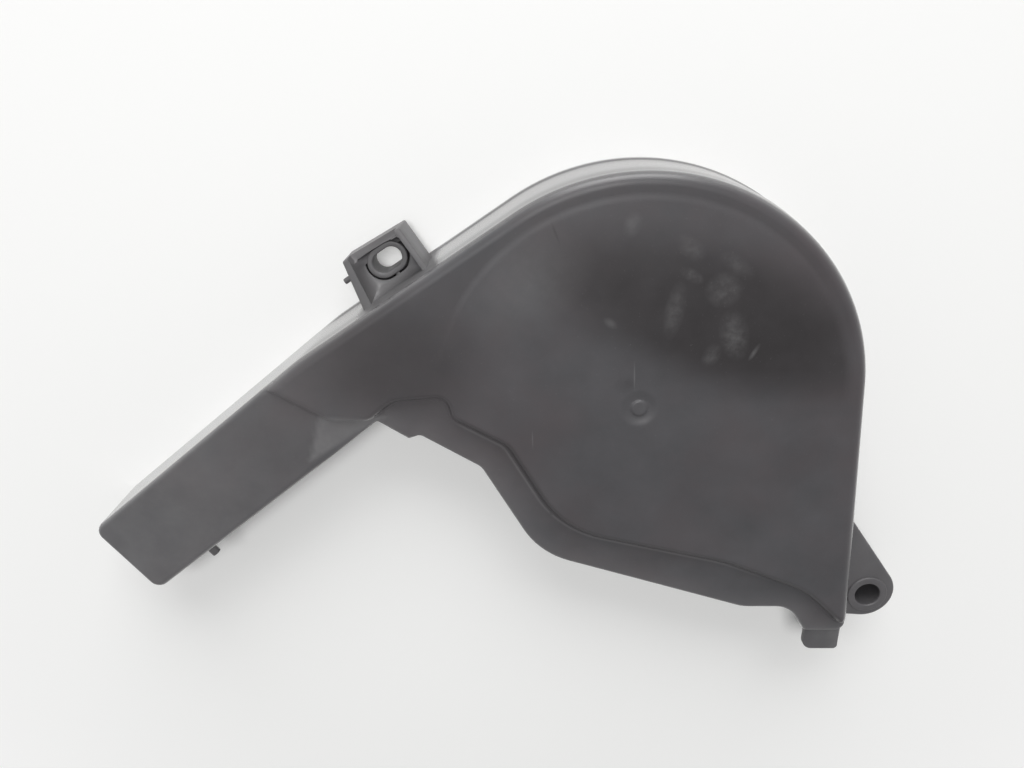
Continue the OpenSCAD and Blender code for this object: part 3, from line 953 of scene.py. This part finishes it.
def writeFinishAndPaintedLight(mesh):
    f = finishAndPaintedLight
    points = np.zeros(len(mesh.vertices) * 3)
    mesh.vertices.foreach_get("co", points)
    points = points.reshape(-1, 3)
    flat = np.ascontiguousarray(points[:, :2])
    x, y = flat[:, 0], flat[:, 1]
    dCover, dStep = inside(flat, coverOutline), inside(flat, stepOutline)
    onFace = ramp(points[:, 2], *f["faceRun"])
    pastArm = ramp(x, *f["stepPaintEnd"]) * onFace * (dCover > f["stepPaintClear"])
    byLug = np.abs(flat @ unit(shell["topDir"] - 90.0) - upperLug["along"] + f["lugShift"])
    byLug = ramp(byLug, *f["lugRun"]) * (dCover < f["lugLap"]) * (y > 0.0)

    # Arm paler towards its end: partly dust haze, partly a painted sheen for the brighter reflection there
    hazeAndLight = f["armHazeAndSheen"] * ramp(x, *f["armRun"])
    # Painted light: the strip lighter towards its outer edge, dark near the step where its shade falls
    onStrip = ramp(dStep, *f["stripRun"]) * ramp(x, *f["stripEnd"]) * (dCover > 0.0)
    hazeAndLight += f["stripPaintedLight"] * onStrip * smooth(1.0 - dCover / f["stripWide"])
    # Lighter towards the bottom, at the tab
    hazeAndLight += f["tabLighter"] * ramp(y, *f["tabRun"])
    # Painted highlight: the sloping facet at the arm's root made lighter, for the light on its slope
    onFacet = inside(flat, np.array(facet["corners"])) / facet["soft"]
    hazeAndLight += f["facetPaintedLight"] * smooth(onFacet + f["facetLap"])
    hazeAndLight += f["earHaze"] * ramp(x, *f["earRun"]) * (dCover < 0.0)
    # Painted light: the lug and the shell beside it made lighter, for the light falling into the lug
    hazeAndLight += f["lugPaintedLight"] * byLug
    # Painted highlight: a thin light line along the step's hollow foot, where it catches the light
    footHighlight = band(dStep, *f["footHighlightBand"]) * pastArm
    hazeAndLight += f["dustAndPaintedLight"] * footHighlight * ramp(x, *f["footHighlightLeft"]) * ramp(x, *f["footHighlightRight"])

    # Darker, browner patch over the disc's centre and right: partly the plastic's tone, partly a painted
    # darker reflection
    fromDark = fromEllipse(flat, f["darkAt"], f["darkSize"], f["darkTurn"])
    dark = f["darkest"] * ramp(fromDark, *f["darkRun"]) * ramp(dCover, *f["darkEdge"])
    fromRoot = fromEllipse(flat, f["rootAt"], f["rootSize"])
    dark = np.maximum(dark, f["rootDark"] * ramp(fromRoot, *f["rootRun"]) * (dStep > 0.0))
    pastDisc = ramp(np.linalg.norm(flat, axis=1), shell["discRadius"], f["ringSoft"])
    onRing = pastDisc * ramp(dCover, *f["ringEdge"]) * ramp(y, *f["ringUp"])
    dark = np.maximum(dark, f["ringDark"] * onRing)
    # Painted shade: a dark band in the hollow foot of the step, where its shadow falls
    dark = np.maximum(dark, f["stepShade"] * pastArm * band(dStep, *f["stepShadeBand"]))

    layers = {
        "edgeWear": f["wear"] * band(dCover, *f["wearBand"]) * onFace,
        "hazeAndPaintedLight": hazeAndLight,
        "darkening": dark,
        "wallGloss": ramp(dCover, *f["glossOut"]) * ramp(dCover, *f["glossIn"]) * (1.0 - byLug),
    }
    hidden = (dCover > f["insideFrom"]) & (points[:, 2] < ceilingHeight(flat) + f["insideLap"])
    for name, values in layers.items():
        values[hidden] = 0.0
        layer = mesh.attributes.new(name, "FLOAT", "POINT")
        layer.data.foreach_set("value", np.clip(values, 0.0, 1.0).astype(np.float32))


def finishShade(mesh):
    bm = bmesh.new()
    bm.from_mesh(mesh)
    bmesh.ops.remove_doubles(bm, verts=bm.verts, dist=finishAndPaintedLight["weld"])
    bmesh.ops.dissolve_degenerate(bm, edges=bm.edges, dist=sliverGap)
    bmesh.ops.triangulate(bm, faces=[f for f in bm.faces if len(f.verts) > 4])
    for f in bm.faces:
        f.smooth = True
    sharpest = math.radians(finishAndPaintedLight["smoothAngle"])
    for e in bm.edges:
        e.smooth = len(e.link_faces) == 2 and e.calc_face_angle(0.0) < sharpest
    openEdges = sum(1 for e in bm.edges if len(e.link_faces) != 2)
    bm.to_mesh(mesh)
    bm.free()
    print("cover:", len(mesh.polygons), "faces,", openEdges, "open edges")


plastic = buildPlastic()
tools = collarTree()
cover = buildShell()
cover.name = "timingCoverShell"
for piece in (buildEar(tools), buildLug(tools), buildTab(), buildArmPeg()):
    print("joining", piece.name)
    cover = joined(cover, piece, "UNION")
finishShade(cover.data)
writeFinishAndPaintedLight(cover.data)
cover.data.transform(Matrix.Scale(mm, 4) @ Matrix.Translation((shell["axis"][0], shell["axis"][1], 0.0)))
cover.data.materials.clear()
cover.data.materials.append(plastic)
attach(cover, "root")
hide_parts("timing_cover")

print("floor, light and camera")
studio = {
    "floorSize": 6.0, "floorColour": (0.93, 0.93, 0.92), "floorRough": 0.9, "floorShine": 0.1,
    "fadeFrom": 0.15, "fadeTo": 0.45, "farFloor": 0.97,
    "sky": 1.0, "zenith": 0.4, "skyFrom": 0.2, "skyTo": 0.9, "skyLight": 0.45,
    "keyPower": 8.5, "keySize": 0.4, "keyAt": (-0.2, 0.45, 1.25),
    "backPower": 44.0, "backSize": 1.8, "backAt": (-0.1, 2.3, 0.95),
    "cameraAt": (-0.12902, 0.18067, 0.27258), "forward": (-0.0033, -0.3623, -0.9321),
    "up": (0.0, 0.9321, -0.3623), "lens": 28.83, "sensor": 36.0, "nearest": 0.01,
    "middle": (-0.13, 0.07, 0.0),
}


# Pale floor: far from the cover it is seen as plain white and gives no light
def buildFloor():
    s = studio
    size = s["floorSize"] / 2.0
    mesh = bpy.data.meshes.new("floor")
    corners = [(-size, -size, 0), (size, -size, 0), (size, size, 0), (-size, size, 0)]
    mesh.from_pydata(corners, [], [(0, 1, 2, 3)])
    floor = objectOf("floor", mesh)
    paint = bpy.data.materials.new("paleFloor")
    paint.use_nodes = True
    tree = paint.node_tree
    node, link = tree.nodes.new, tree.links.new
    shader = tree.nodes["Principled BSDF"]
    shader.inputs["Base Color"].default_value = s["floorColour"] + (1.0,)
    shader.inputs["Roughness"].default_value = s["floorRough"]
    shader.inputs["Specular IOR Level"].default_value = s["floorShine"]
    distance = node("ShaderNodeVectorMath")
    distance.operation = "DISTANCE"
    distance.inputs[1].default_value = s["middle"]
    link(node("ShaderNodeTexCoord").outputs["Object"], distance.inputs[0])
    far = node("ShaderNodeMapRange")
    far.interpolation_type = "SMOOTHSTEP"
    far.inputs[1].default_value = s["fadeFrom"]
    far.inputs[2].default_value = s["fadeTo"]
    link(distance.outputs["Value"], far.inputs[0])
    share = node("ShaderNodeMath")
    share.operation = "MULTIPLY"
    link(far.outputs[0], share.inputs[0])
    link(node("ShaderNodeLightPath").outputs["Is Camera Ray"], share.inputs[1])
    white = node("ShaderNodeEmission")
    white.inputs["Color"].default_value = (s["farFloor"], s["farFloor"], s["farFloor"], 1.0)
    both = node("ShaderNodeMixShader")
    link(share.outputs[0], both.inputs[0])
    link(shader.outputs[0], both.inputs[1])
    link(white.outputs[0], both.inputs[2])
    link(both.outputs[0], tree.nodes["Material Output"].inputs["Surface"])
    mesh.materials.append(paint)


# The sky is white where it is seen or mirrored, and weaker as a light
def buildSky():
    s = studio
    world = bpy.data.worlds.new("studioSky")
    scene.world = world
    world.use_nodes = True
    tree = world.node_tree
    node, link = tree.nodes.new, tree.links.new
    split = node("ShaderNodeSeparateXYZ")
    link(node("ShaderNodeTexCoord").outputs["Generated"], split.inputs[0])
    height = node("ShaderNodeMapRange")
    for i, key in enumerate(("skyFrom", "skyTo", "sky", "zenith")):
        height.inputs[i + 1].default_value = s[key]
    link(split.outputs["Z"], height.inputs[0])
    path = node("ShaderNodeLightPath")
    seen = path.outputs["Is Camera Ray"]
    for kind in ("Is Glossy Ray", "Is Transmission Ray"):
        either = node("ShaderNodeMath")
        either.operation = "MAXIMUM"
        link(seen, either.inputs[0])
        link(path.outputs[kind], either.inputs[1])
        seen = either.outputs[0]
    share = node("ShaderNodeMapRange")
    share.inputs[3].default_value = s["skyLight"]
    link(seen, share.inputs[0])
    strength = node("ShaderNodeMath")
    strength.operation = "MULTIPLY"
    link(height.outputs[0], strength.inputs[0])
    link(share.outputs[0], strength.inputs[1])
    background = tree.nodes["Background"]
    background.inputs["Color"].default_value = (1.0, 1.0, 1.0, 1.0)
    link(strength.outputs[0], background.inputs["Strength"])


def buildLamps():
    s = studio
    for name in ("key", "back"):
        light = bpy.data.lights.new(name, "AREA")
        light.energy = s[name + "Power"]
        light.size = s[name + "Size"]
        lamp = bpy.data.objects.new(name, light)
        lamp.location = s[name + "At"]
        toMiddle = Vector(s["middle"]) - lamp.location
        lamp.rotation_euler = toMiddle.to_track_quat("-Z", "Y").to_euler()
        scene.collection.objects.link(lamp)


def buildCamera():
    s = studio
    lens = bpy.data.cameras.new("camera")
    lens.lens = s["lens"]
    lens.sensor_width = s["sensor"]
    lens.sensor_fit = "HORIZONTAL"
    lens.clip_start = s["nearest"]
    camera = bpy.data.objects.new("camera", lens)
    behind = -Vector(s["forward"]).normalized()
    side = Vector(s["up"]).cross(behind).normalized()
    turned = Matrix((side, behind.cross(side), behind)).transposed()
    camera.matrix_world = Matrix.Translation(s["cameraAt"]) @ turned.to_4x4()
    scene.collection.objects.link(camera)
    scene.camera = camera


buildFloor()
buildSky()
buildLamps()
buildCamera()
scene.view_settings.view_transform = "Standard"
